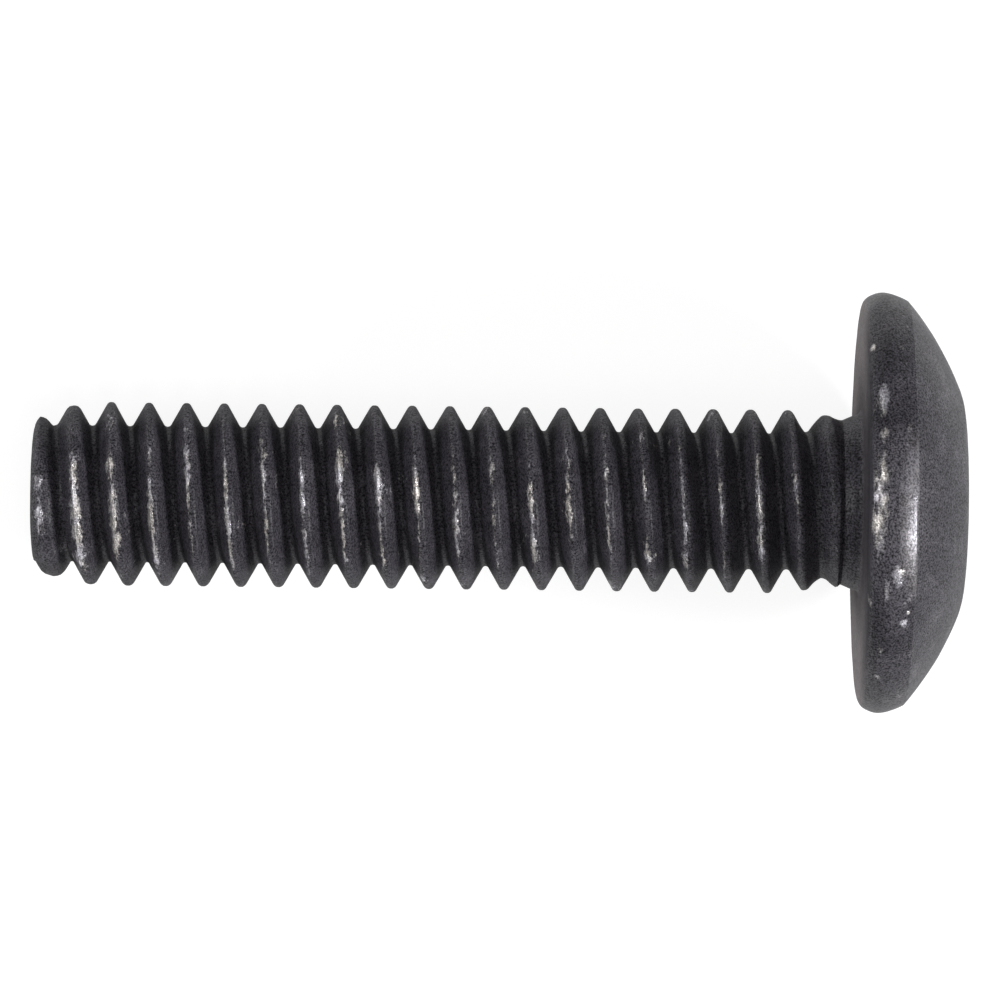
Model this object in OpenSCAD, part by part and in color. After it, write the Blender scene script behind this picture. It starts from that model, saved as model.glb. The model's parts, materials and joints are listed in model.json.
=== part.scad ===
// Machine screw with a wide, low truss head, a coarse right-hand thread rolled
// up to the head and a hexagon socket. It is one piece, and it lies on a flat
// surface the way it comes to rest: on the edge of its head and on the first
// threads at its point. Millimetres; X runs from the point to the head, Z is up.

/* [Thread] */
// Length from the bearing face under the head to the end of the point
shank_length = 27.9; // [18:0.1:34]
// Distance between neighbouring threads (20 to the inch)
thread_pitch = 1.27; // [1.1:0.01:1.7]
// Diameter over the thread crests
major_diameter = 6.2; // [5.8:0.05:6.8]
// Diameter at the bottom of the thread grooves
minor_diameter = 4.59; // [4.2:0.01:5]
// Width of the rounded crest, along the screw
crest_width = 0.24; // [0.1:0.01:0.34]
// How far the crest's middle stands above its shoulders
crest_crown = 0.04; // [0.01:0.01:0.1]
// Width of the rounded groove bottom, along the screw
root_width = 0.22; // [0.1:0.01:0.4]
// How far the groove's middle lies below its shoulders
root_dip = 0.05; // [0.01:0.01:0.1]
// Where the thread starts, turned about the screw's axis
start_angle = 81; // [0:0.5:180]

/* [Point and neck] */
// Diameter of the flat end
point_diameter = 4.36; // [3.6:0.02:4.8]
// Radius around the flat end
point_round = 0.4; // [0.1:0.05:0.5]
// Length over which the thread rises to its full height
point_length = 2.6; // [1:0.1:5]
// Diameter of the narrow relief where the rolled thread ends
relief_diameter = 5.56; // [5.2:0.02:5.7]
// Diameter of the flared neck, where the fillet under the head begins
neck_diameter = 5.88; // [5.8:0.02:6]
// Length of the neck, from the relief to the bearing face
neck_length = 0.64; // [0.5:0.02:2]
// Length over which the grooves rise to the relief
groove_runout = 1.4; // [0.8:0.05:4]
// The crests fall to the neck's diameter over the first half of this length
crest_runout = 1.8; // [1:0.1:5]
// Radius of the fillet between the neck and the head
neck_fillet = 0.26; // [0.1:0.02:0.27]

/* [Head] */
// Largest diameter of the head, at the ridge around its rim
head_diameter = 14.22; // [12:0.02:17]
// Height of the head above its bearing face
head_height = 3.48; // [2.9:0.02:4.4]
// Radius of the domed top
dome_radius = 10.55; // [9:0.05:16]
// Diameter of the flat on the dome, around the socket
flat_diameter = 6.75; // [5.2:0.05:8]
// Height of the rim's ridge above the bearing face
ridge_height = 0.68; // [0.6:0.02:1.1]
// Radius of the rounded ridge
ridge_round = 0.8; // [0.2:0.05:1]
// Slope of the rim below the ridge, in degrees from the screw's axis
under_taper = 24; // [5:1:30]
// Slope of the rim above the ridge, in degrees from the screw's axis
over_taper = 22; // [8:1:35]
// Radius of the corner between the rim and the bearing face
corner_round = 0.42; // [0.1:0.02:0.5]

/* [Socket] */
// Distance across the flats of the hexagon socket
socket_flats = 4; // [3:0.1:4.3]
// Depth of the socket's flats below the top
socket_depth = 2.3; // [1.5:0.1:2.8]
// Diameter of the countersink at the socket's mouth
socket_mouth = 4.9; // [4.8:0.05:5.1]
// Angle of that countersink, from side to side
mouth_angle = 120; // [90:5:140]
// Angle of the drilled cone in the socket's floor
floor_angle = 120; // [90:5:150]

/* [Hidden] */
steel_black = [0.2, 0.2, 0.21];

// Facets around the thread, and the smoothness of the turned surfaces
thread_sides = 36;
$fn = 144;
// Steps in each small rounding of a turned outline
round_steps = 6;
// Lets a cut pass clear of the surface that it opens
cut_clear = 0.1;

major_radius = major_diameter / 2;
minor_radius = minor_diameter / 2;
point_radius = point_diameter / 2;
relief_radius = relief_diameter / 2;
neck_radius = neck_diameter / 2;
head_radius = head_diameter / 2;

// The rolled thread ends in a ring a hair smaller than the relief
ring_step = 0.03;
ring_radius = relief_radius - ring_step;
thread_top = shank_length - neck_length;
head_top = shank_length + head_height;

// One pitch of the thread: how far along it each point lies, and its radius
crest_edge = crest_width / 2 / thread_pitch;
root_edge = root_width / 2 / thread_pitch;
crest_side = major_radius - crest_crown;
root_side = minor_radius + root_dip;
form = [
    [0, major_radius],
    [crest_edge, crest_side],
    [0.5 - root_edge, root_side],
    [0.5, minor_radius],
    [0.5 + root_edge, root_side],
    [1 - crest_edge, crest_side]
];
form_size = len(form);

// The thread's surface is a grid: rows that climb with the helix, and one
// column for each side. Rows past an end of the thread lie on that end's ring.
first_row = -form_size;
last_row = form_size * ceil(thread_top / thread_pitch + 1);
end_margin = 0.02;
relief_margin = 0.06;
low_middle = 2 * thread_sides;
high_middle = low_middle + 1;
first_vertex = high_middle + 1;

function form_point(row) = form[row - form_size * floor(row / form_size)];
function row_turns(row) = floor(row / form_size) + form_point(row)[0];
function climb(row, side) =
    thread_pitch * (row_turns(row) + side / thread_sides - start_angle / 360);
function row_height(row, side) =
    let (h = climb(row, side))
    h < end_margin ? 0 : h > thread_top - relief_margin ? thread_top : h;

// The rounded point holds the crests down
function clamp(x) = min(1, max(0, x));
function crest_limit(h) =
    major_radius - (major_radius - point_radius - point_round) * pow(clamp(1 - h / point_length), 2);
function nose_radius(h) =
    crest_limit(h) - point_round * (1 - sqrt(1 - pow(clamp(1 - h / point_round), 2)));

// The run-out draws the crests in and lets the grooves rise
function high_radius(h) =
    neck_radius + (major_radius - neck_radius) * clamp(2 * (thread_top - h) / crest_runout - 1);
function low_radius(h) =
    ring_radius + (minor_radius - ring_radius) * clamp((thread_top - h) / groove_runout);
function thread_radius(row, h) =
    let (fullness = (form_point(row)[1] - minor_radius) / (major_radius - minor_radius))
    min(nose_radius(h), low_radius(h) + (high_radius(h) - low_radius(h)) * fullness);

function on_side(radius, side, h) =
    let (a = 360 * side / thread_sides)
    [radius * cos(a), radius * sin(a), h];
function grid_point(row, side) =
    let (h = row_height(row, side))
    on_side(thread_radius(row, h), side, h);
function vertex(row, side) =
    side == thread_sides ? vertex(row + form_size, 0)
    : row_height(row, side) <= 0 ? side
    : row_height(row, side) >= thread_top ? thread_sides + side
    : first_vertex + (row - first_row) * thread_sides + side;
function is_triangle(t) = t[0] != t[1] && t[1] != t[2] && t[0] != t[2];

thread_points = concat(
    [for (side = [0 : thread_sides - 1]) on_side(point_radius, side, 0)],
    [for (side = [0 : thread_sides - 1]) on_side(ring_radius, side, thread_top)],
    [[0, 0, 0], [0, 0, thread_top]],
    [for (row = [first_row : last_row]) for (side = [0 : thread_sides - 1]) grid_point(row, side)]
);
thread_faces = concat(
    [for (side = [0 : thread_sides - 1]) [low_middle, side, (side + 1) % thread_sides]],
    [for (side = [0 : thread_sides - 1])
        [high_middle, thread_sides + (side + 1) % thread_sides, thread_sides + side]],
    [for (row = [first_row : last_row - 1])
        for (side = [0 : thread_sides - 1])
            let (a = vertex(row, side), b = vertex(row + 1, side))
            let (c = vertex(row + 1, side + 1), d = vertex(row, side + 1))
            for (t = [[a, b, c], [a, c, d]])
                if (is_triangle(t)) t]
);

// Half outline of the neck and head, as radius and height above the bearing face
function arc(centre, radius, from, to) =
    [for (k = [0 : round_steps])
        let (a = from + (to - from) * k / round_steps)
        centre + radius * [cos(a), sin(a)]];

ridge_centre = [head_radius - ridge_round, ridge_height];
under_start = ridge_centre + ridge_round * [cos(under_taper), -sin(under_taper)];
bearing_radius = under_start[0]
    + ((corner_round - under_start[1]) * sin(under_taper) - corner_round) / cos(under_taper);
over_start = ridge_centre + ridge_round * [cos(over_taper), sin(over_taper)];
over_end = over_start + (head_height - over_start[1]) * [-tan(over_taper), 1];
dome_centre = head_height - sqrt(pow(dome_radius, 2) - pow(flat_diameter / 2, 2));
head_outline = concat(
    [[0, -neck_length], [relief_radius, -neck_length]],
    arc([neck_radius + neck_fillet, -neck_fillet], neck_fillet, 180, 90),
    arc([bearing_radius, corner_round], corner_round, -90, -under_taper),
    arc(ridge_centre, ridge_round, -under_taper, over_taper),
    [over_end, [0, head_height]]
);

// Hexagon socket: its corners, countersink and drilled floor
socket_corners = socket_flats / cos(30);
mouth_depth = socket_mouth / 2 / tan(mouth_angle / 2);
floor_diameter = 0.94 * socket_flats;
floor_depth = floor_diameter / 2 / tan(floor_angle / 2);

// Resting tilt: the surface touches the rounded ridge and one crest at the point.
// Crests on the underside lie on the first side of the thread.
function crest_height(turn) = thread_pitch * (turn - start_angle / 360);
function tilt_on(h) =
    let (reach = shank_length + ridge_centre[1] - h)
    let (drop = ridge_centre[0] - nose_radius(h))
    atan2(drop, reach) + asin(ridge_round / norm([reach, drop]));
rest_tilt = min([for (turn = [1 : 4]) tilt_on(crest_height(turn))]);
rest_height = ridge_centre[0] * cos(rest_tilt) + ridge_round
    - (shank_length + ridge_centre[1]) * sin(rest_tilt);
left_end = -point_radius * sin(rest_tilt);
right_end = head_top * cos(rest_tilt) + flat_diameter / 2 * sin(rest_tilt);

module thread() {
    polyhedron(thread_points, thread_faces);
}

module head() {
    translate([0, 0, shank_length])
        rotate_extrude()
            intersection() {
                polygon(head_outline);
                translate([0, dome_centre])
                    circle(dome_radius);
            }
}

module socket() {
    translate([0, 0, head_top - socket_depth])
        cylinder(h = socket_depth + cut_clear, d = socket_corners, $fn = 6);
    translate([0, 0, head_top - socket_depth - floor_depth])
        cylinder(h = floor_depth, d1 = 0, d2 = floor_diameter);
    translate([0, 0, head_top - mouth_depth])
        cylinder(h = mouth_depth, d1 = 0, d2 = socket_mouth);
}

module screw() {
    color(steel_black)
        translate([-(left_end + right_end) / 2, 0, rest_height])
            rotate([0, 90 - rest_tilt, 0])
                difference() {
                    union() {
                        thread();
                        head();
                    }
                    socket();
                }
}

screw();
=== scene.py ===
import json
from math import acos, atan2, ceil, cos, hypot, pi, radians, sin, sqrt, tan

import bmesh
import bpy
from mathutils import Matrix, Vector


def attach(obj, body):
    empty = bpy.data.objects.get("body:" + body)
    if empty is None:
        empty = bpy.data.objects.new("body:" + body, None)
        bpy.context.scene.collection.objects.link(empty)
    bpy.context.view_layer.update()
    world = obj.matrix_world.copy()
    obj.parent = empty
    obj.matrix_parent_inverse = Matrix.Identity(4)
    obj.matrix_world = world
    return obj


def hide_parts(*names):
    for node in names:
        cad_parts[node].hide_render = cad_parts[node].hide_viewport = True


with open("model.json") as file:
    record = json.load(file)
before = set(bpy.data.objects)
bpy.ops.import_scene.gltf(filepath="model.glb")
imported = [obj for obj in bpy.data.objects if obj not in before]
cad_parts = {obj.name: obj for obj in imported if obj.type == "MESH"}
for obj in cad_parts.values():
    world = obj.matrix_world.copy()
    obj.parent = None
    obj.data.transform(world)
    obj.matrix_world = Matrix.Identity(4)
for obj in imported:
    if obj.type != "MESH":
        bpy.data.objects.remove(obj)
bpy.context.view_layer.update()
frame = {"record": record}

bl_info = {
    "name": "Black truss head screw",
    "version": (1, 0, 0),
    "blender": (4, 5, 0),
    "location": "View3D > Sidebar > Screw",
    "description": "Models a worn black machine screw and the studio that it is shown in",
    "category": "Add Mesh",
}

PIECE_NAME = "black_screw"
# Vertices nearer than this become one, and those this near an end of the thread are moved to it
MERGE_DISTANCE = 0.000002
END_MARGIN = 0.00002
SMOOTH_ANGLE = radians(25)
# Vertex attributes: how far a crest or an edge of the head is rubbed
CREST_WEAR = "crest_wear"
RIM_WEAR = "rim_wear"
# Where the point blunts a crest, its top is rounded by a share of its width and
# of the height that it has lost, and the new edges by a share of that height
CREST_ROUND = 0.7
LOST_ROUND = 1.5
EDGE_ROUND = 0.5
FLOOR_WIDTH = 6.0
SENSOR_WIDTH = 36.0
# The floor is in its deepest shade up to this share of the shade's width
SHADE_CORE = 0.2
MILLIMETRES = 1000.0

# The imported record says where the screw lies: the middle of the bearing face
# under its head, and the direction from the point to the head.
MOUNTS = {mount["name"]: mount for mount in frame["record"]["mounts"]}
BEARING_MIDDLE = Vector(MOUNTS["bearing_face"]["pos_m"])
TO_HEAD = -Vector(MOUNTS["bearing_face"]["axis"]).normalized()
# Seen from above, the screw runs to the right and the picture's up is +Y.
PICTURE_UP = Vector((0.0, 1.0, 0.0))
TO_CAMERA = TO_HEAD.cross(PICTURE_UP).normalized()
# The screw's own axes as rows: X down from the camera, Y up in the picture, Z to the head
OWN_AXES = Matrix((-TO_CAMERA, PICTURE_UP, TO_HEAD))

# Scuffs and nicks on the rim: degrees up the picture from the side that faces
# the camera, height above the bearing face, half length around the rim, half
# height along the axis (millimetres), and how bare the steel is.
SCUFFS = (
    (48.0, 0.12, 0.15, 0.09, 1.0),
    (57.0, 0.50, 0.12, 0.08, 0.45),
    (29.0, 0.42, 0.58, 0.17, 0.8),
    (18.5, 0.42, 0.28, 0.16, 0.6),
    (8.0, 0.44, 0.50, 0.20, 0.7),
    (1.5, 0.18, 0.20, 0.10, 1.0),
    (-1.0, 0.33, 1.55, 0.24, 0.7),
    (-6.0, 0.20, 0.48, 0.17, 0.85),
    (-12.0, 0.26, 0.30, 0.12, 0.65),
    (-19.5, 0.92, 0.32, 0.20, 0.75),
    (-24.0, 0.58, 0.42, 0.11, 0.55),
    (-28.7, 0.04, 0.20, 0.07, 0.6),
    (-31.5, 1.32, 0.08, 0.07, 0.8),
    (-34.5, 1.16, 0.12, 0.11, 1.0),
    (-44.0, 0.45, 0.22, 0.10, 0.45),
    (-55.0, 0.42, 0.16, 0.11, 0.6),
)
# A stretch of the rim below its crease that is burnished smooth, and the wider
# stretch whose coating is rubbed thin, in the same terms; both sit where the right
# lamp's highlight falls, and their paler colours are also a painted sheen and a
# painted haze around it
BURNISHED_SHEEN = (-4.0, 1.56, 1.90, 0.46, 1.0)
RUBBED_THIN_HAZE = (-4.0, 0.85, 2.20, 0.85, 1.0)

# Noises of the finish: scale to the millimetre, detail and roughness
GRAIN = (15.0, 2.0, 0.6)
MOTTLE = (0.9, 4.0, 0.55)
PATCHES = (0.8, 2.0, 0.5)
FLECKS = (4.5, 5.0, 0.72)
STREAKS = (1.0, 4.0, 0.75)
STROKES = (4.2, 4.0, 0.62)
RING_MARKS = (12.0, 4.0, 0.7)
# How the streaks are scaled to run along the thread, and how far a turn of one
# radian counts in the strokes and ring marks, in millimetres
STREAK_SCALE = (3.5, 3.5, 9.0)
STROKE_STRETCH = 3.4
RING_STRETCH = 0.9
BUMP_DEPTH = 0.000008

# Soft lamps: degrees to the right of the camera and up in the picture, distance,
# and their width and height
RIGHT_LAMP = ((62.0, -14.0), 0.34, (0.06, 0.14))
LEFT_LAMP = ((-48.0, 4.0), 0.40, (0.10, 0.14))
LOW_LAMP = ((4.0, -12.0), 0.42, (0.10, 0.10))


def length(name, default, description):
    """A size, in metres."""
    return bpy.props.FloatProperty(
        name=name, description=description, default=default, min=0.0,
        precision=6, subtype="DISTANCE", unit="LENGTH",
    )


def angle(name, default_degrees, description):
    """An angle, given in degrees."""
    return bpy.props.FloatProperty(
        name=name, description=description, default=radians(default_degrees), subtype="ANGLE",
    )


def share(name, default, description):
    """A plain number from nought to one."""
    return bpy.props.FloatProperty(
        name=name, description=description, default=default, min=0.0, max=1.0, subtype="FACTOR",
    )


def watts(name, default, description):
    """The power of a lamp."""
    return bpy.props.FloatProperty(
        name=name, description=description, default=default, min=0.0, unit="POWER",
    )


def colour(name, default, description):
    """A surface colour."""
    return bpy.props.FloatVectorProperty(
        name=name, description=description, default=default,
        size=3, min=0.0, max=1.0, subtype="COLOR",
    )


class ScrewSizes(bpy.types.PropertyGroup):
    """Sizes of the screw, as built."""

    shank_length: length("Shank length", 0.0279, "From the bearing face to the end of the point")
    thread_pitch: length("Thread pitch", 0.00127, "Distance between neighbouring threads")
    major_diameter: length("Crest diameter", 0.0062, "Diameter over the thread crests")
    minor_diameter: length("Root diameter", 0.00459, "Diameter at the bottom of the grooves")
    crest_width: length("Crest width", 0.00024, "Width of the rounded crest")
    crest_seam: length("Crest seam", 0.000006, "Depth of the seam that rolling leaves in the crest")
    crest_drop: length("Crest drop", 0.00004, "How far the crest's shoulders lie below its top")
    streak_width: length("Streak width", 0.00034, "Width of the worn streak on a full crest")
    streak_shift: length("Streak shift", 0.0001, "From the crest's top to the streak, towards the point")
    streak_length: length("Streak length", 0.006, "Length from the point over which it narrows by half")
    root_width: length("Root width", 0.00022, "Width of the rounded groove bottom")
    root_rise: length("Root rise", 0.00005, "How far the groove's shoulders lie above its bottom")
    start_angle: angle("Thread start", 81.0, "Where the thread starts, about the screw's axis")
    point_diameter: length("Point diameter", 0.00436, "Diameter of the flat end")
    point_round: length("Point rounding", 0.0004, "Radius around the flat end")
    point_length: length("Point length", 0.0026, "Length over which the thread rises to its height")
    relief_diameter: length("Relief diameter", 0.00556, "Diameter of the relief where the thread ends")
    relief_width: length("Relief width", 0.00016, "Length over which the thread falls into it")
    neck_diameter: length("Neck diameter", 0.00588, "Diameter of the neck, where the fillet begins")
    neck_length: length("Neck length", 0.00064, "From the relief to the bearing face")
    groove_runout: length("Groove run-out", 0.0014, "Length over which the grooves rise")
    crest_runout: length("Crest run-out", 0.0018, "Crests fall to the neck over its first half")
    neck_fillet: length("Neck fillet", 0.00026, "Radius between the neck and the head")
    head_diameter: length("Head diameter", 0.01422, "Largest diameter of the head")
    head_height: length("Head height", 0.00348, "Height of the head above its bearing face")
    dome_radius: length("Dome radius", 0.01055, "Radius of the domed top")
    flat_diameter: length("Flat diameter", 0.00675, "Diameter of the flat around the socket")
    flat_round: length("Flat rounding", 0.0005, "How far the flat's edge is rounded to either side")
    ridge_height: length("Ridge height", 0.00068, "Height of the ridge above the bearing face")
    ridge_round: length("Ridge rounding", 0.0008, "Radius of the rounded ridge")
    under_taper: angle("Taper below the ridge", 24.0, "Slope of the rim below its ridge")
    over_taper: angle("Taper above the ridge", 22.0, "Slope of the rim above its ridge")
    rim_bow: angle("Rim bow", 8.0, "How far the upper slope bends to either side of its taper")
    corner_round: length("Corner rounding", 0.00042, "Radius between the rim and the bearing face")
    socket_flats: length("Socket flats", 0.004, "Distance across the flats of the socket")
    socket_depth: length("Socket depth", 0.0023, "Depth of the socket's flats")
    socket_mouth: length("Socket mouth", 0.0049, "Diameter of the socket's countersink")
    mouth_angle: angle("Mouth angle", 120.0, "Angle of the countersink, from side to side")
    floor_angle: angle("Floor angle", 120.0, "Angle of the drilled cone in the socket's floor")
    floor_share: share("Floor share", 0.94, "Diameter of that cone as a share of the socket's flats")
    sides: bpy.props.IntProperty(
        name="Sides", description="Facets around the screw, a multiple of six",
        default=96, min=24, max=192,
    )


class ScrewFinish(bpy.types.PropertyGroup):
    """Colours and wear of the screw's black coating."""

    coating: colour("Coating", (0.033, 0.0308, 0.0372), "Black conversion coating")
    # The bearing face's colour is a brown tint made far paler than the coating, as painted bounce light
    # from the floor
    bearing_coating_bounce_lit: colour("Bearing face", (0.265, 0.237, 0.243), "Browner coating under the head")
    rubbed_coating: colour("Rubbed coating", (0.060, 0.0562, 0.0655), "Coating where it is rubbed")
    wear_turn: angle("Wear turn", 9.5, "How far the worn side is turned down in the picture")
    steel: colour("Bare steel", (0.80, 0.76, 0.72), "Steel where the coating has worn away")
    cool_steel: colour("Cool steel", (0.72, 0.70, 0.76), "Bare steel with a violet tarnish")
    coating_roughness: share("Coating roughness", 0.38, "Roughness of the coating")
    steel_roughness: share("Steel roughness", 0.28, "Roughness of the bare steel")
    waviness: length("Waviness", 0.00002, "How far the rolled and forged surfaces wander")


class StudioSettings(bpy.types.PropertyGroup):
    """Camera, floor and lamps."""

    camera_distance: length("Camera distance", 0.230, "From the screw's axis to the camera")
    view_width: length("View width", 0.033795, "Width of the picture at the screw's axis")
    view_middle: length("View middle", 0.015735, "Where the picture's middle lies, from the point")
    view_drop: length("View drop", 0.000057, "How far the picture's middle lies below the axis")
    view_roll: angle("View roll", 0.673, "How far the screw slopes down to the right")
    floor_colour: colour("Floor", (0.25, 0.25, 0.25), "Matt part of the floor")
    floor_glow: share("Floor glow", 0.86, "Share of the floor's white that needs no light")
    shade_length: length("Shade length", 0.026, "Length of the floor in the screw's shade")
    shade_width: length("Shade width", 0.015, "How far that shade reaches to either side")
    shade: share("Shade", 0.15, "Share of the floor's white that the screw mirrors close by")
    sky_light: share("Surrounding light", 0.40, "Light that falls on the screw from all around")
    sky_top: share("Overhead", 0.16, "How pale the surround looks overhead, behind the camera")
    right_lamp: watts("Right lamp", 1.05, "Power of the soft lamp beyond the head")
    left_lamp: watts("Left lamp", 0.54, "Power of the soft lamp beyond the point")
    low_lamp: watts("Low lamp", 0.23, "Power of the soft lamp below the picture's middle")


def select_only(piece):
    """Deselects everything, then selects one object and makes it active."""
    bpy.ops.object.select_all(action="DESELECT")
    piece.select_set(True)
    bpy.context.view_layer.objects.active = piece


def select_vertices(piece, wanted):
    """Selects the vertices of the mesh in edit mode whose place passes a test."""
    bpy.ops.mesh.select_mode(type="VERT")
    bpy.ops.mesh.select_all(action="DESELECT")
    mesh = bmesh.from_edit_mesh(piece.data)
    for vertex in mesh.verts:
        vertex.select = wanted(vertex.co)
    mesh.select_flush_mode()
    bmesh.update_edit_mesh(piece.data)


def arc(middle, radius, start, end, steps):
    """Points of an arc in a half outline, as radius and height."""
    turns = [start + (end - start) * k / steps for k in range(steps + 1)]
    return [(middle[0] + radius * cos(t), middle[1] + radius * sin(t)) for t in turns]


def between(first, last, steps):
    """Points on a straight stretch, without its first point."""
    shares = [k / steps for k in range(1, steps + 1)]
    return [tuple(a + (b - a) * s for a, b in zip(first, last)) for s in shares]


def eased(first, corner, last, steps):
    """Points of a curve that rounds off a corner, without its first point."""
    start = between(first, corner, steps)
    end = between(corner, last, steps)
    return [between(a, b, steps)[k] for k, (a, b) in enumerate(zip(start, end))]


def bowed(middle, radius, turn, last, steps):
    """Points of an arc that carries another one on to a last point, without its first point."""
    reach = (last[0] - middle[0], last[1] - middle[1])
    ahead = reach[0] * cos(turn) + reach[1] * sin(turn)
    square = reach[0] ** 2 + reach[1] ** 2 + radius ** 2
    wide = (square - 2 * radius * ahead) / (2 * (radius - ahead))
    centre = (middle[0] + (radius - wide) * cos(turn), middle[1] + (radius - wide) * sin(turn))
    end = atan2(last[1] - centre[1], last[0] - centre[0])
    return arc(centre, wide, turn, end, steps)[1:]


def thread_outline(size):
    """One pitch of the thread from groove to groove, as height from the crest and radius."""
    half_pitch = size.thread_pitch / 2
    crest_half = size.crest_width / 2
    root_half = size.root_width / 2
    crest = size.major_diameter / 2
    root = size.minor_diameter / 2
    flank_width = half_pitch - crest_half - root_half
    lean = atan2(flank_width, crest - size.crest_drop - root - size.root_rise)

    # Arcs that touch both flanks and the crest's top or the groove's bottom
    spread = 1 / sin(lean) - 1
    crest_radius = (crest_half / tan(lean) - size.crest_drop) / spread
    root_radius = (root_half / tan(lean) - size.root_rise) / spread
    crest_arc = arc((0.0, crest - crest_radius), crest_radius, pi / 2, lean, 4)
    root_arc = arc((half_pitch, root + root_radius), root_radius, pi + lean, 1.5 * pi, 4)
    flank = between(crest_arc[-1], root_arc[0], 4)
    half = [(0.0, crest - size.crest_seam), *crest_arc[1:], *flank, *root_arc[1:]]
    return [(-h, r) for h, r in reversed(half[1:])] + half


def clamp(value):
    """The value, held between nought and one."""
    return min(1.0, max(0.0, value))


def eased_step(value):
    """Rises from nought to one with a level start and end."""
    held = clamp(value)
    return held * held * (3 - 2 * held)


def crest_limit(size, height):
    """Radius that the crests reach at this height, near the point."""
    crest = size.major_diameter / 2
    start = size.point_diameter / 2 + size.point_round
    return crest - (crest - start) * clamp(1 - height / size.point_length) ** 2


def end_limit(size, height):
    """Radius that the rounded end allows at this height."""
    inside = clamp(1 - height / size.point_round)
    return crest_limit(size, height) - size.point_round * (1 - sqrt(1 - inside ** 2))


def soft_least(first, second, blend):
    """The lesser of two radii, with the corner between them rounded off."""
    overlap = max(0.0, blend - abs(first - second))
    return min(first, second) - overlap ** 2 / (4 * blend + MERGE_DISTANCE)


def thread_radius(size, formed, height, crest_height):
    """Radius of a point of the thread's outline, shaped by the screw's point and by the run-out."""
    crest = size.major_diameter / 2
    root = size.minor_diameter / 2
    neck = size.neck_diameter / 2
    relief = size.relief_diameter / 2
    to_relief = size.shank_length - size.neck_length - height
    high = neck + (crest - neck) * clamp(2 * to_relief / size.crest_runout - 1)
    low = relief + (root - relief) * clamp(to_relief / size.groove_runout)
    rolled = low + (formed - root) * (high - low) / (crest - root)
    faded = relief + (rolled - relief) * eased_step(to_relief / size.relief_width)
    limit = crest_limit(size, max(0.0, crest_height))
    lost = crest - limit
    top_radius = size.crest_width * CREST_ROUND + lost * LOST_ROUND
    bulge = min(lost, (height - crest_height) ** 2 / (2 * top_radius))
    rounded = soft_least(faded, limit - bulge, lost * EDGE_ROUND)
    return min(rounded, end_limit(size, height))


def dome_middle(size):
    """Height of the dome's middle above the bearing face."""
    return size.head_height - sqrt(size.dome_radius ** 2 - size.flat_diameter ** 2 / 4)


def rim_crease(size):
    """Radius and height at which the rim's upper slope meets the dome in a crease."""
    rounding = size.ridge_round
    fall = tan(size.over_taper)
    start = size.head_diameter / 2 - rounding + rounding * cos(size.over_taper)
    reach = start + fall * (size.ridge_height + rounding * sin(size.over_taper))
    middle = dome_middle(size)
    half_sum = (fall * reach + middle) / (1 + fall ** 2)
    product = (reach ** 2 + middle ** 2 - size.dome_radius ** 2) / (1 + fall ** 2)
    height = half_sum + sqrt(half_sum ** 2 - product)
    return reach - fall * height, height


def head_outline(size):
    """Half outline of neck and head, as radius, height above the bearing face and wear."""
    neck = size.neck_diameter / 2
    fillet = size.neck_fillet
    under = size.under_taper
    over = size.over_taper - size.rim_bow
    corner, rounding = size.corner_round, size.ridge_round
    ridge = (size.head_diameter / 2 - rounding, size.ridge_height)
    under_start = (ridge[0] + rounding * cos(under), ridge[1] - rounding * sin(under))
    bearing = under_start[0] + ((corner - under_start[1]) * sin(under) - corner) / cos(under)
    flat = size.flat_diameter / 2
    dome = size.dome_radius
    middle = dome_middle(size)
    crease = rim_crease(size)
    crease_turn = atan2(crease[1] - middle, crease[0])

    relief = (size.relief_diameter / 2, -size.neck_length)
    flare = between(relief, (neck, -fillet), 4)
    fillet_arc = arc((neck + fillet, -fillet), fillet, pi, pi / 2, 8)
    bearing_ring = between(fillet_arc[-1], (bearing, 0.0), 6)
    corner_arc = arc((bearing, corner), corner, -pi / 2, -under, 6)
    ridge_arc = arc(ridge, rounding, -under, over, 8)
    upper_rim = bowed(ridge, rounding, over, crease, 8)
    edge = (flat, size.head_height)
    dome_arc = arc((0.0, middle), dome, crease_turn, acos(flat / dome) - size.flat_round / dome, 18)
    flat_start = (flat - size.flat_round, size.head_height)
    flat_edge = eased(dome_arc[-1], edge, flat_start, 5)
    flat_ring = between(flat_start, (size.socket_mouth / 2, size.head_height), 3)
    # Each stretch of the outline, and how far it is rubbed
    stretches = (
        (flare + fillet_arc[1:] + bearing_ring, 0.0),
        (corner_arc[1:], 0.55),
        (ridge_arc, 0.45),
        (upper_rim[:3], 0.7),
        (upper_rim[3:], 1.0),
        (dome_arc[1:], 0.0),
        (flat_edge, 0.3),
        (flat_ring[:-1], 0.1),
        (flat_ring[-1:], 0.6),
    )
    return [(radius, height, wear) for points, wear in stretches for radius, height in points]


def open_edges(piece):
    """How many edges of a finished mesh don't have exactly two faces."""
    mesh = bmesh.new()
    mesh.from_mesh(piece.data)
    count = sum(not edge.is_manifold for edge in mesh.edges)
    mesh.free()
    return count


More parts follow.
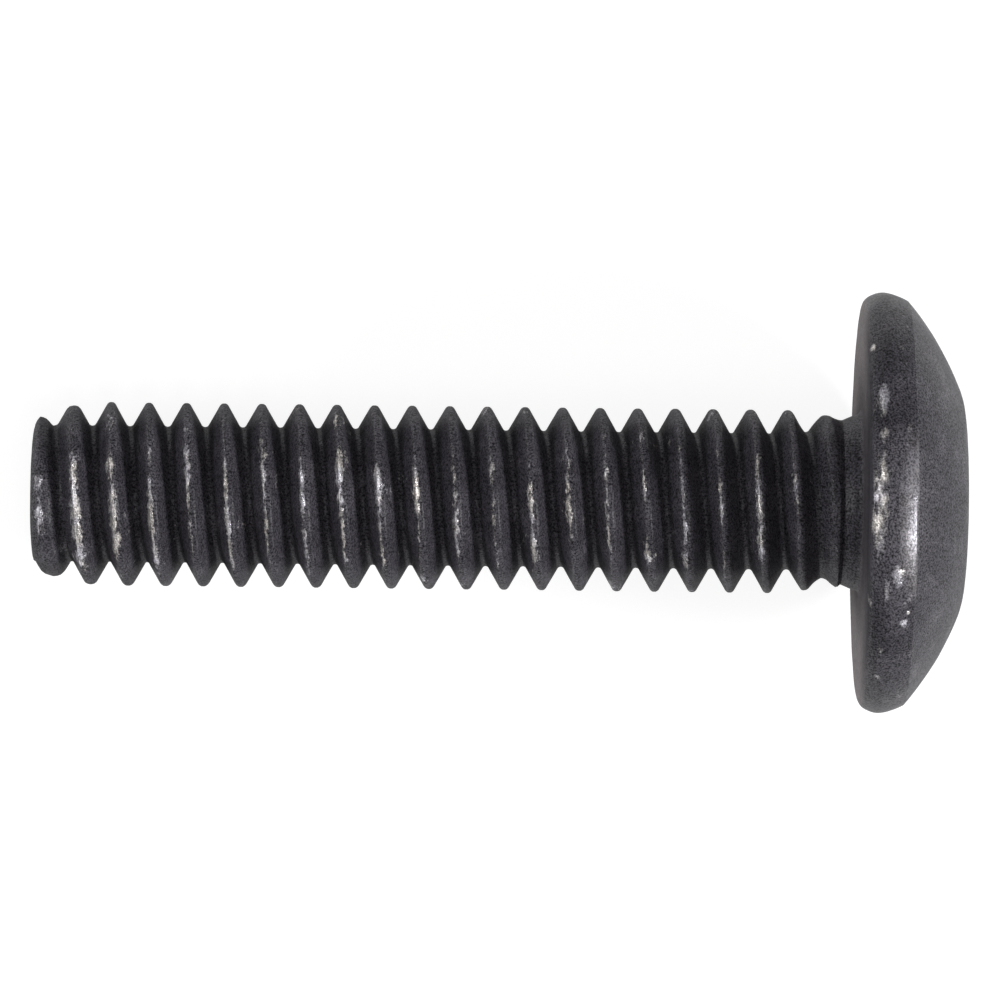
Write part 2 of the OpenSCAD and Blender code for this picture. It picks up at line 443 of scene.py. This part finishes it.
class SCREW_OT_model(bpy.types.Operator):
    """Models the screw as one closed mesh and gives it its worn black finish"""

    bl_idname = "screw.model"
    bl_label = "Model the screw"
    bl_options = {"REGISTER", "UNDO"}

    def execute(self, context):
        size = context.scene.screw_sizes
        finish = context.scene.screw_finish
        shank = self.roll_thread(size)
        self.fade_thread(shank, size)
        self.close_point(shank, size)
        head = self.forge_head(size)
        self.punch_socket(head, size)
        piece = self.weld(shank, head)
        self.sharpen_crease(piece, size)
        self.roughen(piece, finish)
        self.lay_down(piece, size)
        piece.data.materials.append(black_coating(finish, size))
        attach(piece, "root")
        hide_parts("screw")
        return {"FINISHED"}

    def roll_thread(self, size):
        """Winds one pitch of the thread's outline into a right-hand helix."""
        outline = thread_outline(size)
        bpy.ops.object.select_all(action="DESELECT")
        bpy.ops.mesh.primitive_plane_add(size=1.0)
        shank = bpy.context.object
        shank.name = PIECE_NAME
        shank.data.name = PIECE_NAME
        bpy.ops.object.mode_set(mode="EDIT")
        select_vertices(shank, lambda place: place.x > 0)
        bpy.ops.mesh.delete(type="VERT")
        bpy.ops.mesh.select_all(action="SELECT")
        bpy.ops.mesh.subdivide(number_cuts=len(outline) - 2)
        turns = ceil((size.shank_length - size.neck_length) / size.thread_pitch) + 1
        crest_height = size.thread_pitch * (turns - size.start_angle / (2 * pi))
        mesh = bmesh.from_edit_mesh(shank.data)
        in_order = sorted(mesh.verts, key=lambda vertex: vertex.co.y)
        for vertex, (height, radius) in zip(in_order, outline):
            vertex.co = (radius, 0.0, crest_height + height)
        bmesh.update_edit_mesh(shank.data)
        bpy.ops.mesh.select_all(action="SELECT")
        bpy.ops.mesh.screw(steps=size.sides, turns=1, center=(0, 0, 0), axis=(0, 0, -1))
        bpy.ops.object.mode_set(mode="OBJECT")
        repeat = shank.modifiers.new("turns", "ARRAY")
        repeat.count = turns + 2
        repeat.use_relative_offset = False
        repeat.use_constant_offset = True
        repeat.constant_offset_displace = (0.0, 0.0, -size.thread_pitch)
        bpy.ops.object.modifier_apply(modifier=repeat.name)
        bpy.ops.object.mode_set(mode="EDIT")
        bpy.ops.mesh.select_all(action="SELECT")
        bpy.ops.mesh.remove_doubles(threshold=MERGE_DISTANCE)
        return shank

    def fade_thread(self, shank, size):
        """Rounds the thread at the point, fades it at the neck and gathers its ends into rings."""
        mesh = bmesh.from_edit_mesh(shank.data)
        mesh.verts.layers.float.new(RIM_WEAR)
        wear = mesh.verts.layers.float.new(CREST_WEAR)
        pitch = size.thread_pitch
        top = size.shank_length - size.neck_length
        for vertex in mesh.verts:
            formed = hypot(vertex.co.x, vertex.co.y)
            turn = atan2(vertex.co.y, vertex.co.x)
            height = vertex.co.z
            lead = pitch * (turn - size.start_angle) / (2 * pi)
            crest_height = pitch * round((height - lead) / pitch) + lead
            off_streak = abs(height - crest_height + size.streak_shift)
            if height < END_MARGIN:
                height = 0.0
                radius = size.point_diameter / 2
            elif height > top - END_MARGIN:
                height = top
                radius = size.relief_diameter / 2
            else:
                radius = thread_radius(size, formed, height, crest_height)
            streak = size.streak_width / 2 * (2 - clamp(height / size.streak_length))
            fade = clamp((top - height) / size.crest_runout)
            vertex[wear] = fade * clamp(1 - off_streak / streak)
            vertex.co = (radius * cos(turn), radius * sin(turn), height)
        bmesh.update_edit_mesh(shank.data)
        bpy.ops.mesh.select_all(action="SELECT")
        bpy.ops.mesh.remove_doubles(threshold=MERGE_DISTANCE)

    def next_ring(self, piece, ring, radius, height, wear):
        """Extrudes the selected ring and moves the new one to its radius and height."""
        old_radius, old_height = ring
        rise = (0.0, 0.0, height - old_height)
        grow = radius / old_radius
        bpy.ops.mesh.extrude_region_move(TRANSFORM_OT_translate={"value": rise})
        bpy.ops.transform.resize(value=(grow, grow, 1.0), center_override=(0.0, 0.0, height))
        self.mark_wear(piece, wear)
        return radius, height

    def mark_wear(self, piece, amount):
        """Notes how far the selected ring is rubbed, and that no crest runs along it."""
        mesh = bmesh.from_edit_mesh(piece.data)
        layers = mesh.verts.layers.float
        for vertex in mesh.verts:
            if vertex.select:
                vertex[layers[RIM_WEAR]] = amount
                if CREST_WEAR in layers:
                    vertex[layers[CREST_WEAR]] = 0.0

    def close_point(self, shank, size):
        """Closes the flat end of the point."""
        end = size.point_diameter / 2
        ring = (end, 0.0)
        select_vertices(shank, lambda place: place.z < MERGE_DISTANCE)
        for part in (0.93, 0.7, 0.35):
            ring = self.next_ring(shank, ring, end * part, 0.0, 0.3)
        bpy.ops.mesh.merge(type="CENTER")
        bpy.ops.object.mode_set(mode="OBJECT")

    def forge_head(self, size):
        """Raises neck, bearing face, rim, dome and flat, ring by ring."""
        ring = (size.relief_diameter / 2, size.shank_length - size.neck_length)
        bpy.ops.object.select_all(action="DESELECT")
        bpy.ops.mesh.primitive_circle_add(vertices=size.sides, radius=ring[0])
        head = bpy.context.object
        bpy.ops.object.mode_set(mode="EDIT")
        bpy.ops.mesh.select_all(action="SELECT")
        bpy.ops.transform.translate(value=(0.0, 0.0, ring[1]))
        bmesh.from_edit_mesh(head.data).verts.layers.float.new(RIM_WEAR)
        bpy.ops.mesh.select_all(action="SELECT")
        for radius, height, wear in head_outline(size):
            ring = self.next_ring(head, ring, radius, size.shank_length + height, wear)
        return head

    def punch_socket(self, head, size):
        """Sinks the countersink, the six flats and the drilled floor from the flat's inner ring."""
        top = size.shank_length + size.head_height
        floor = top - size.socket_depth
        flats = size.socket_flats / 2
        drill = flats * size.floor_share
        mouth = size.socket_mouth / 2
        mouth_fall = 1 / tan(size.mouth_angle / 2)
        drill_fall = 1 / tan(size.floor_angle / 2)

        def hexagon(turn):
            return flats / cos(turn % (pi / 3) - pi / 6)

        def sink_ring(shape):
            bpy.ops.mesh.extrude_region_move(TRANSFORM_OT_translate={"value": (0.0, 0.0, 0.0)})
            mesh = bmesh.from_edit_mesh(head.data)
            for vertex in mesh.verts:
                if vertex.select:
                    turn = atan2(vertex.co.y, vertex.co.x)
                    radius, height = shape(turn)
                    vertex.co = (radius * cos(turn), radius * sin(turn), height)
            bmesh.update_edit_mesh(head.data)
            self.mark_wear(head, 0.0)

        sink_ring(lambda turn: (hexagon(turn), top - (mouth - hexagon(turn)) * mouth_fall))
        for depth in (0.35, 0.6, 0.85, 0.97):
            sink_ring(lambda turn: (hexagon(turn), top - size.socket_depth * depth))
        sink_ring(lambda turn: (hexagon(turn), floor))
        for part in (1.0, 0.6, 0.25):
            sink_ring(lambda turn: (drill * part, floor - drill * (1 - part) * drill_fall))
        bpy.ops.mesh.merge(type="CENTER")
        bpy.ops.transform.translate(value=(0.0, 0.0, -drill * 0.25 * drill_fall))
        bpy.ops.object.mode_set(mode="OBJECT")

    def weld(self, shank, head):
        """Joins head and shank into one closed mesh with its faces outwards."""
        select_only(shank)
        head.select_set(True)
        bpy.ops.object.join()
        bpy.ops.object.mode_set(mode="EDIT")
        bpy.ops.mesh.select_all(action="SELECT")
        bpy.ops.mesh.remove_doubles(threshold=MERGE_DISTANCE)
        bpy.ops.mesh.normals_make_consistent(inside=False)
        bpy.ops.object.mode_set(mode="OBJECT")
        if open_edges(shank):
            raise RuntimeError(f"the screw's mesh has {open_edges(shank)} open edges")
        return shank

    def sharpen_crease(self, piece, size):
        """Keeps the crease between rim and dome sharp when the rest is smoothed."""
        radius, height = rim_crease(size)
        level = size.shank_length + height
        bpy.ops.object.mode_set(mode="EDIT")
        select_vertices(
            piece,
            lambda place: abs(place.z - level) < MERGE_DISTANCE
            and abs(hypot(place.x, place.y) - radius) < MERGE_DISTANCE,
        )
        bpy.ops.mesh.mark_sharp()
        bpy.ops.object.mode_set(mode="OBJECT")

    def roughen(self, piece, finish):
        """Lets the forged and rolled surfaces wander a little and smooths their shading."""
        select_only(piece)
        for label, scale in (("forged waves", 0.0045), ("rolled ripples", 0.0011)):
            texture = bpy.data.textures.new(label, type="CLOUDS")
            texture.noise_scale = scale
            texture.noise_depth = 2
            wave = piece.modifiers.new(label, "DISPLACE")
            wave.texture = texture
            wave.texture_coords = "LOCAL"
            wave.mid_level = 0.5
            wave.strength = finish.waviness
            bpy.ops.object.modifier_apply(modifier=wave.name)
        bpy.ops.object.shade_smooth_by_angle(angle=SMOOTH_ANGLE)

    def lay_down(self, piece, size):
        """Lays the screw where the record says and puts its place into its mesh."""
        select_only(piece)
        place = OWN_AXES.transposed().to_4x4()
        place.translation = BEARING_MIDDLE - TO_HEAD * size.shank_length
        piece.matrix_world = place
        bpy.ops.object.transform_apply(location=True, rotation=True, scale=True)


class NodeBoard:
    """Adds nodes to a material or world and links them."""

    def __init__(self, tree):
        tree.nodes.clear()
        self.tree = tree

    def add(self, kind, values=None, **settings):
        """A node with its settings; each value is a number, a colour or another node's output."""
        node = self.tree.nodes.new(kind)
        for key, value in settings.items():
            setattr(node, key, value)
        for key, value in (values or {}).items():
            if isinstance(value, bpy.types.NodeSocket):
                self.tree.links.new(value, node.inputs[key])
            else:
                node.inputs[key].default_value = value
        return node

    def math(self, operation, first, second=0.0):
        return self.add("ShaderNodeMath", {0: first, 1: second}, operation=operation).outputs[0]

    def vector(self, operation, values, output="Vector"):
        return self.add("ShaderNodeVectorMath", values, operation=operation).outputs[output]

    def parts(self, vector):
        return self.add("ShaderNodeSeparateXYZ", {0: vector}).outputs

    def total(self, *values):
        result = values[0]
        for value in values[1:]:
            result = self.math("ADD", result, value)
        return result

    def highest(self, *values):
        result = values[0]
        for value in values[1:]:
            result = self.math("MAXIMUM", result, value)
        return result

    def times(self, first, second):
        return self.math("MULTIPLY", first, second)

    def less(self, first, second):
        return self.math("SUBTRACT", first, second)

    def noise(self, vector, scale, detail, roughness):
        values = {"Vector": vector, "Scale": scale, "Detail": detail, "Roughness": roughness}
        return self.add("ShaderNodeTexNoise", values).outputs["Fac"]

    def ramp(self, value, low, high, out_low=0.0, out_high=1.0):
        """A soft step from one value to another."""
        values = {"Value": value, "From Min": low, "From Max": high}
        values.update({"To Min": out_low, "To Max": out_high})
        node = self.add("ShaderNodeMapRange", values, interpolation_type="SMOOTHSTEP")
        return node.outputs["Result"]

    def mix_colour(self, factor, first, second):
        values = {0: factor, 6: first, 7: second}
        return self.add("ShaderNodeMix", values, data_type="RGBA").outputs[2]

    def mix_value(self, factor, first, second):
        values = {0: factor, 2: first, 3: second}
        return self.add("ShaderNodeMix", values, data_type="FLOAT").outputs[0]

    def attribute(self, name):
        return self.add("ShaderNodeAttribute", attribute_name=name).outputs["Fac"]

    def surface(self, shader, output="ShaderNodeOutputMaterial"):
        self.tree.links.new(shader, self.add(output).inputs["Surface"])


class CoatingBoard(NodeBoard):
    """Nodes of the screw's finish: a black coating that is rubbed through to steel in places."""

    def __init__(self, tree, finish, size):
        super().__init__(tree)
        self.finish = finish
        self.size = size
        self.on_screw = self.place_on_screw()
        self.place = self.parts(self.on_screw)
        self.from_axis, self.outward = self.axis_distance()
        self.above_bearing = self.less(self.place["Z"], size.shank_length * MILLIMETRES)
        self.on_head = self.ramp(self.above_bearing, -0.1, 0.1)
        self.bearing = self.ramp(self.math("ABSOLUTE", self.above_bearing), 0.03, 0.12, 1.0, 0.0)
        self.crest = self.attribute(CREST_WEAR)
        self.rim = self.attribute(RIM_WEAR)
        self.grain = self.noise(self.on_screw, *GRAIN)
        self.mottle = self.noise(self.on_screw, *MOTTLE)
        self.flecks = self.noise(self.on_screw, *FLECKS)
        self.streaks = self.noise(self.along_thread(), *STREAKS)
        # Burnished stretch of the rim, whose paler colour also paints a sheen at the lamp's highlight
        self.burnished_sheen = self.times(self.ramp(self.rim, 0.3, 0.9), self.spots_on_rim((BURNISHED_SHEEN,)))

    def place_on_screw(self):
        """Place on the screw in millimetres: Z runs up its axis from the point."""
        point = BEARING_MIDDLE - TO_HEAD * self.size.shank_length
        turned = {
            "Vector": self.add("ShaderNodeTexCoord").outputs["Object"],
            "Location": tuple(-MILLIMETRES * (OWN_AXES @ point)),
            "Rotation": tuple(OWN_AXES.to_euler()),
            "Scale": (MILLIMETRES, MILLIMETRES, MILLIMETRES),
        }
        return self.add("ShaderNodeMapping", turned, vector_type="POINT").outputs["Vector"]

    def axis_distance(self):
        """Distance from the screw's axis, and the direction away from it."""
        flat = self.vector("MULTIPLY", {0: self.on_screw, 1: (1.0, 1.0, 0.0)})
        return self.vector("LENGTH", {0: flat}, "Value"), self.vector("NORMALIZE", {0: flat})

    def along_thread(self):
        """A place in which a noise is drawn out along the thread."""
        drawn_out = {"Vector": self.on_screw, "Scale": STREAK_SCALE}
        return self.add("ShaderNodeMapping", drawn_out, vector_type="POINT").outputs["Vector"]

    def around_axis(self, stretch):
        """A place in which a noise is drawn out around the screw's axis, without a seam."""
        way = self.parts(self.outward)
        place = {
            "X": self.times(way["X"], stretch),
            "Y": self.times(way["Y"], stretch),
            "Z": self.total(self.place["Z"], self.from_axis),
        }
        return self.add("ShaderNodeCombineXYZ", place).outputs["Vector"]

    def spots_on_rim(self, spots):
        """How far the listed spots on the rim have rubbed the coating, from nought to one."""
        up_picture = self.math("ARCTAN2", self.place["Y"], self.times(self.place["X"], -1.0))
        rim = self.size.head_diameter / 2 * MILLIMETRES
        rubbed = []
        for turn, middle, half_around, half_height, amount in spots:
            around = self.times(self.less(up_picture, radians(turn)), rim / half_around)
            along = self.times(self.less(self.above_bearing, middle), 1 / half_height)
            squares = self.total(self.times(around, around), self.times(along, along))
            rubbed.append(self.ramp(self.math("SQRT", squares), 0.1, 1.9, amount, 0.0))
        at_rim = self.ramp(self.from_axis, 0.80 * rim, 0.88 * rim)
        return self.times(at_rim, self.highest(*rubbed))

    def grained(self, low, high):
        """A value that varies with the coating's grain."""
        return self.ramp(self.grain, 0.28, 0.72, low, high)

    def bare_crests(self):
        """Steel on the crests: most on the side that shows and opposite, and near the point."""
        depth = self.times(self.place["X"], cos(self.finish.wear_turn))
        across = self.times(self.place["Y"], sin(self.finish.wear_turn))
        crest_radius = self.size.major_diameter / 2 * MILLIMETRES
        facing = self.math("ABSOLUTE", self.times(self.total(depth, across), 1 / crest_radius))
        past_point = self.ramp(self.place["Z"], 0.2, 1.6, 0.68, 1.0)
        to_head = self.ramp(self.place["Z"], 3.0, 15.0, 0.80, 0.60)
        reach = self.times(self.ramp(facing, 0.66, 0.94, 0.30, 1.0), self.times(past_point, to_head))
        patches = self.noise(self.on_screw, *PATCHES)
        ragged = self.total(self.times(self.streaks, 1.7), self.times(patches, 1.4))
        rubbed = self.total(ragged, self.times(self.crest, reach))
        return self.ramp(self.less(rubbed, self.on_head), 1.91, 2.30)

    def bare_rim(self):
        """Steel in the scuffs and nicks of the rim, drawn out around the head."""
        strokes = self.noise(self.around_axis(STROKE_STRETCH), *STROKES)
        ragged = self.mix_value(self.on_head, self.flecks, strokes)
        scuffs = self.times(self.spots_on_rim(SCUFFS), 0.60)
        edges = self.times(self.rim, 0.13)
        return self.ramp(self.total(ragged, self.times(self.grain, 0.2), scuffs, edges), 0.80, 1.36)

    def sheen(self):
        """Steel that shines faintly through the burnished stretch of the rim; its paler colour there is
        also a painted sheen at the lamp's highlight.
        """
        uneven = self.ramp(self.total(self.flecks, self.mottle), 0.7, 1.3, 0.15, 0.40)
        return self.times(self.burnished_sheen, uneven)

    def polish(self):
        """Where the coating is rubbed paler and smoother; below the crease its paler colour is also a
        painted haze around the lamp's highlight.
        """
        # Paler coating below the crease: rubbed thin, and a painted haze around the lamp's highlight
        thinned_and_haze = self.times(self.spots_on_rim((RUBBED_THIN_HAZE,)), 0.7)
        edges = self.total(self.times(self.crest, 0.30), self.times(self.rim, 0.08))
        return self.ramp(self.total(self.mottle, edges, thinned_and_haze), 0.42, 0.85)

    def bearing_tint_and_bounce_light(self):
        """How brown and how pale the bearing face is: more so outwards, with painted shade near the
        neck, and away from the camera, as painted bounce light from the floor.
        """
        # Darker near the neck as painted shade, paler away from the camera as painted bounce light from
        # the floor
        outwards = self.ramp(self.from_axis, 3.2, 5.2, 0.3, 1.0)
        toward_floor_bounce = self.ramp(self.place["X"], -5.5, 0.5)
        return self.times(self.bearing, self.times(outwards, toward_floor_bounce))

    def coat_colour(self, polish, tint_and_bounce_lit):
        """Colour of the coating, with its grain and the bearing face's ring marks, brown tint and
        painted bounce light.
        """
        finish = self.finish
        plain = self.mix_colour(polish, (*finish.coating, 1.0), (*finish.rubbed_coating, 1.0))
        # Brown tint and painted bounce light on the bearing face
        coat = self.mix_colour(tint_and_bounce_lit, plain, (*finish.bearing_coating_bounce_lit, 1.0))
        ring_marks = self.noise(self.around_axis(RING_STRETCH), *RING_MARKS)
        smeared = self.total(self.grained(0.45, 0.95), self.ramp(ring_marks, 0.3, 0.7, 0.1, 0.5))
        speckle = self.mix_value(self.bearing, self.grained(0.15, 1.95), smeared)
        return self.vector("SCALE", {0: coat, "Scale": speckle})

    def steel_colour(self):
        """Colour of the bare steel, with its tarnish and glints."""
        finish = self.finish
        # The burnished stretch's cool tint also colours the painted sheen
        tarnish = self.highest(self.ramp(self.mottle, 0.40, 0.62), self.burnished_sheen)
        steel = self.mix_colour(tarnish, (*finish.steel, 1.0), (*finish.cool_steel, 1.0))
        glint = self.ramp(self.grain, 0.30, 0.70, 0.50, 1.25)
        return self.vector("SCALE", {0: steel, "Scale": glint})

    def coat_roughness(self, polish):
        """Roughness of the coating: less where it is rubbed, more on the bearing face."""
        middle = self.finish.coating_roughness
        uneven = self.ramp(polish, 0.0, 1.0, middle + 0.04, middle - 0.04)
        smoothed = self.times(self.burnished_sheen, self.ramp(self.flecks, 0.3, 0.7, 0.10, 0.18))
        return self.less(self.total(uneven, self.times(self.bearing, 0.15)), smoothed)

    def steel_roughness(self):
        """Roughness of the bare steel."""
        middle = self.finish.steel_roughness
        return self.ramp(self.flecks, 0.3, 0.7, middle - 0.06, middle + 0.10)


def black_coating(finish, size):
    """Matte black conversion coating, rubbed through to steel on crests and rim."""
    material = bpy.data.materials.new("black_coated_steel")
    material.use_nodes = True
    board = CoatingBoard(material.node_tree, finish, size)
    bare = board.highest(board.bare_crests(), board.bare_rim(), board.sheen())
    polish = board.polish()
    # Mask of the bearing face's brown tint and painted bounce light
    tint_and_bounce_lit = board.bearing_tint_and_bounce_light()
    coat_rough = board.coat_roughness(polish)
    scratches = board.times(bare, board.times(board.streaks, 8.0))
    relief = {"Strength": 0.6, "Distance": BUMP_DEPTH, "Height": board.total(board.grain, scratches)}
    look = {
        "Base Color": board.mix_colour(bare, board.coat_colour(polish, tint_and_bounce_lit), board.steel_colour()),
        "Metallic": bare,
        "Roughness": board.mix_value(bare, coat_rough, board.steel_roughness()),
        "Normal": board.add("ShaderNodeBump", relief).outputs["Normal"],
        # The painted bounce light's mask also adds gloss on the bearing face
        "Specular IOR Level": board.total(board.grained(0.05, 0.27), board.times(tint_and_bounce_lit, 0.15)),
    }
    board.surface(board.add("ShaderNodeBsdfPrincipled", look).outputs["BSDF"])
    return material


def ray_kinds(board):
    """Whether a ray comes from the camera, and whether it comes from a gloss or a glass."""
    path = board.add("ShaderNodeLightPath").outputs
    mirrored = board.highest(path["Is Glossy Ray"], path["Is Transmission Ray"])
    return path["Is Camera Ray"], mirrored


def beside_screw(board, settings):
    """How much of the floor's white the screw mirrors: less of it close by, in the screw's shade."""
    place = board.parts(board.add("ShaderNodeTexCoord").outputs["Object"])
    along = board.less(board.math("ABSOLUTE", place["X"]), settings.shade_length / 2)
    past_ends = board.highest(along, 0.0)
    squares = board.total(board.times(past_ends, past_ends), board.times(place["Y"], place["Y"]))
    core = settings.shade_width * SHADE_CORE
    return board.ramp(board.math("SQRT", squares), core, settings.shade_width, settings.shade, 1.0)


def pale_floor(settings):
    """Matt pale floor whose white is part glow, so that the screw's shadow stays soft."""
    material = bpy.data.materials.new("pale_floor")
    material.use_nodes = True
    board = NodeBoard(material.node_tree)
    matt = board.add("ShaderNodeBsdfDiffuse", {"Color": (*settings.floor_colour, 1.0)})
    from_camera, mirrored = ray_kinds(board)
    seen = board.highest(from_camera, board.times(mirrored, beside_screw(board, settings)))
    glow = board.add("ShaderNodeEmission", {"Strength": board.times(seen, settings.floor_glow)})
    both = {0: matt.outputs["BSDF"], 1: glow.outputs["Emission"]}
    board.surface(board.add("ShaderNodeAddShader", both).outputs["Shader"])
    return material


class SCREW_OT_stage(bpy.types.Operator):
    """Sets the pale floor, the soft lamps and the camera around the screw"""

    bl_idname = "screw.stage"
    bl_label = "Set the stage"
    bl_options = {"REGISTER", "UNDO"}

    def execute(self, context):
        settings = context.scene.screw_studio
        point = BEARING_MIDDLE - TO_HEAD * context.scene.screw_sizes.shank_length
        middle = point + TO_HEAD * settings.view_middle
        self.floor(settings)
        self.surround(context.scene, settings)
        self.lamp("right_lamp", middle, *RIGHT_LAMP, settings.right_lamp)
        self.lamp("left_lamp", middle, *LEFT_LAMP, settings.left_lamp)
        self.lamp("low_lamp", middle, *LOW_LAMP, settings.low_lamp)
        self.camera(context.scene, middle, settings)
        context.scene.view_settings.view_transform = "Standard"
        return {"FINISHED"}

    def floor(self, settings):
        """A wide matt floor at height nought."""
        bpy.ops.object.select_all(action="DESELECT")
        bpy.ops.mesh.primitive_plane_add(size=FLOOR_WIDTH)
        floor = bpy.context.object
        floor.name = "floor"
        floor.data.materials.append(pale_floor(settings))

    def surround(self, scene, settings):
        """A pale surround that looks dimmer overhead, behind the camera."""
        scene.world = bpy.data.worlds.new("studio")
        scene.world.use_nodes = True
        board = NodeBoard(scene.world.node_tree)
        direction = board.add("ShaderNodeTexCoord").outputs["Generated"]
        upward = board.parts(direction)["Z"]
        look = board.ramp(upward, 0.0, 0.36, 1.0, settings.sky_top)
        seen = board.highest(*ray_kinds(board))
        level = board.mix_value(seen, settings.sky_light, look)
        background = board.add("ShaderNodeBackground", {"Strength": level})
        board.surface(background.outputs["Background"], "ShaderNodeOutputWorld")

    def lamp(self, name, middle, degrees, distance, spread, power):
        """A soft lamp, placed by degrees to the right of the camera and up in the picture."""
        right, up = radians(degrees[0]), radians(degrees[1])
        level = TO_CAMERA * cos(right) + TO_HEAD * sin(right)
        direction = level * cos(up) + PICTURE_UP * sin(up)
        across = PICTURE_UP.cross(direction).normalized()
        place = Matrix((across, direction.cross(across), direction)).transposed().to_4x4()
        place.translation = middle + direction * distance
        bpy.ops.object.select_all(action="DESELECT")
        bpy.ops.object.light_add(type="AREA")
        lamp = bpy.context.object
        lamp.name = name
        lamp.matrix_world = place
        lamp.data.shape = "ELLIPSE"
        lamp.data.size, lamp.data.size_y = spread
        lamp.data.energy = power
        lamp.visible_camera = False

    def camera(self, scene, middle, settings):
        """A long lens straight above the lying screw."""
        bpy.ops.object.select_all(action="DESELECT")
        bpy.ops.object.camera_add()
        camera = bpy.context.object
        camera.name = "camera"
        roll = settings.view_roll
        right = TO_HEAD * cos(roll) + PICTURE_UP * sin(roll)
        up = PICTURE_UP * cos(roll) - TO_HEAD * sin(roll)
        place = Matrix((right, up, TO_CAMERA)).transposed().to_4x4()
        aim = middle - PICTURE_UP * settings.view_drop
        place.translation = aim + TO_CAMERA * settings.camera_distance
        camera.matrix_world = place
        camera.data.sensor_width = SENSOR_WIDTH
        camera.data.lens = SENSOR_WIDTH * settings.camera_distance / settings.view_width
        camera.data.clip_start = 0.001
        scene.camera = camera


class SCREW_PT_panel(bpy.types.Panel):
    """Lists the steps and the sizes of the screw"""

    bl_idname = "SCREW_PT_panel"
    bl_label = "Screw"
    bl_space_type = "VIEW_3D"
    bl_region_type = "UI"
    bl_category = "Screw"

    def draw(self, context):
        layout = self.layout
        layout.operator(SCREW_OT_stage.bl_idname)
        layout.operator(SCREW_OT_model.bl_idname)
        for group_name in GROUPS:
            group = getattr(context.scene, group_name)
            box = layout.box()
            for name in group.__annotations__:
                box.prop(group, name)


GROUPS = {"screw_sizes": ScrewSizes, "screw_finish": ScrewFinish, "screw_studio": StudioSettings}
CLASSES = (*GROUPS.values(), SCREW_OT_stage, SCREW_OT_model, SCREW_PT_panel)


def register():
    for each in CLASSES:
        bpy.utils.register_class(each)
    for name, group in GROUPS.items():
        setattr(bpy.types.Scene, name, bpy.props.PointerProperty(type=group))


def unregister():
    for name in GROUPS:
        delattr(bpy.types.Scene, name)
    for each in reversed(CLASSES):
        bpy.utils.unregister_class(each)


def main():
    register()
    bpy.ops.screw.stage()
    bpy.ops.screw.model()


if __name__ == "__main__":
    main()
